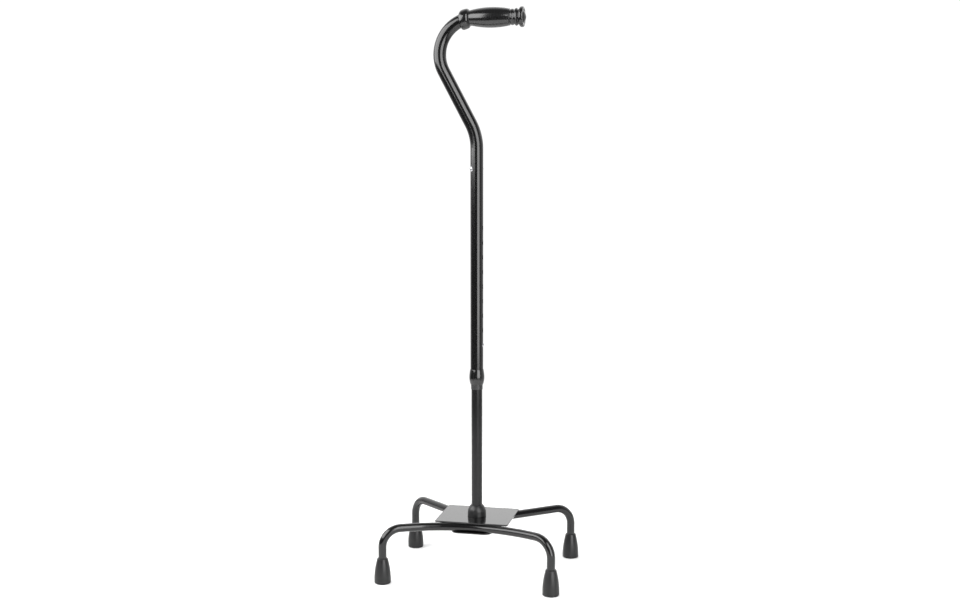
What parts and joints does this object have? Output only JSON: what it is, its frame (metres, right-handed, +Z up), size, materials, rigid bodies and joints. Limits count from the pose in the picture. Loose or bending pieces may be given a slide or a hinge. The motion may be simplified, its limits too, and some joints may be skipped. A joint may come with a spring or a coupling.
{
  "type": "quad walking cane",
  "caption": "Adjustable walking cane with a swan-neck handle, a moulded hand grip, a telescoping shaft with a snap button, and a low base on splayed rubber-tipped legs.",
  "frame": {"origin": "middle of the footprint of the rubber tips, on the floor", "axes": "+Z up along the shaft; +X along the hand grip towards its open end; +Y towards the rear, the side where the legs stand further from the shaft"},
  "size_m": [0.325, 0.246, 0.9873],
  "materials": {
    "gloss_black_tube": "gloss black enamel over drawn aluminium tube",
    "satin_black_tube": "satin black coating over drawn aluminium tube",
    "gloss_black_steel": "gloss black powder coat over steel",
    "black_rubber": "moulded rubber with a soft sheen",
    "grip_vinyl": "smooth glossy vinyl",
    "black_moulding": "moulded plastic, lightly glossy",
    "black_nylon": "matt moulded nylon",
    "natural_nylon": "uncoloured nylon",
    "bright_steel": "bright plated steel",
    "zinc_steel": "zinc-plated steel",
    "spring_steel": "blued spring steel"
  },
  "bodies": {
    "base": {"base_plate": "gloss_black_steel", "clamp_plate": "gloss_black_steel", "front_leg_tube": "gloss_black_steel", "rear_leg_tube": "gloss_black_steel", "weld_beads": "gloss_black_steel", "tip_washers": "zinc_steel", "shaft_socket": "gloss_black_steel", "shaft_boot": "black_moulding", "foot_plug": "zinc_steel", "shaft_bolt": "zinc_steel", "bolt_washer": "zinc_steel", "plate_spacer": "zinc_steel", "lower_tube": "satin_black_tube", "top_guide": "natural_nylon", "snap_spring": "spring_steel", "front_left_tip": "black_rubber", "front_right_tip": "black_rubber", "rear_left_tip": "black_rubber", "rear_right_tip": "black_rubber"},
    "button": {"snap_button": "bright_steel"},
    "carriage": {"lock_collet": "black_nylon"},
    "handle": {"handle_tube": "gloss_black_tube", "hand_grip": "grip_vinyl", "grip_end_plug": "black_moulding", "stop_rivet": "bright_steel", "stop_bush": "natural_nylon", "thread_ferrule": "black_nylon"},
    "collar": {"lock_collar": "black_moulding"}
  },
  "joints": [
    {"name": "height_slide", "type": "slide", "parent": "base", "child": "carriage", "axis": [0, 0, 1], "range_m": [-0.2032, 0], "deforming": ["snap_button", "snap_spring"]},
    {"name": "handle_turn", "type": "hinge", "parent": "carriage", "child": "handle", "pos_m": [0, -0.0205, 0.5], "axis": [0, 0, 1], "range_deg": [-180, 180]},
    {"name": "button_press", "type": "slide", "parent": "base", "child": "button", "axis": [1, 0, 0], "range_m": [-0.0032, 0], "stiffness_N_per_m": 1500, "springref_m": 0.002},
    {"name": "collar_turn", "type": "hinge", "parent": "handle", "child": "collar", "pos_m": [0, -0.0205, 0.357], "axis": [0, 0, 1], "range_deg": [0, 180]}
  ]
}
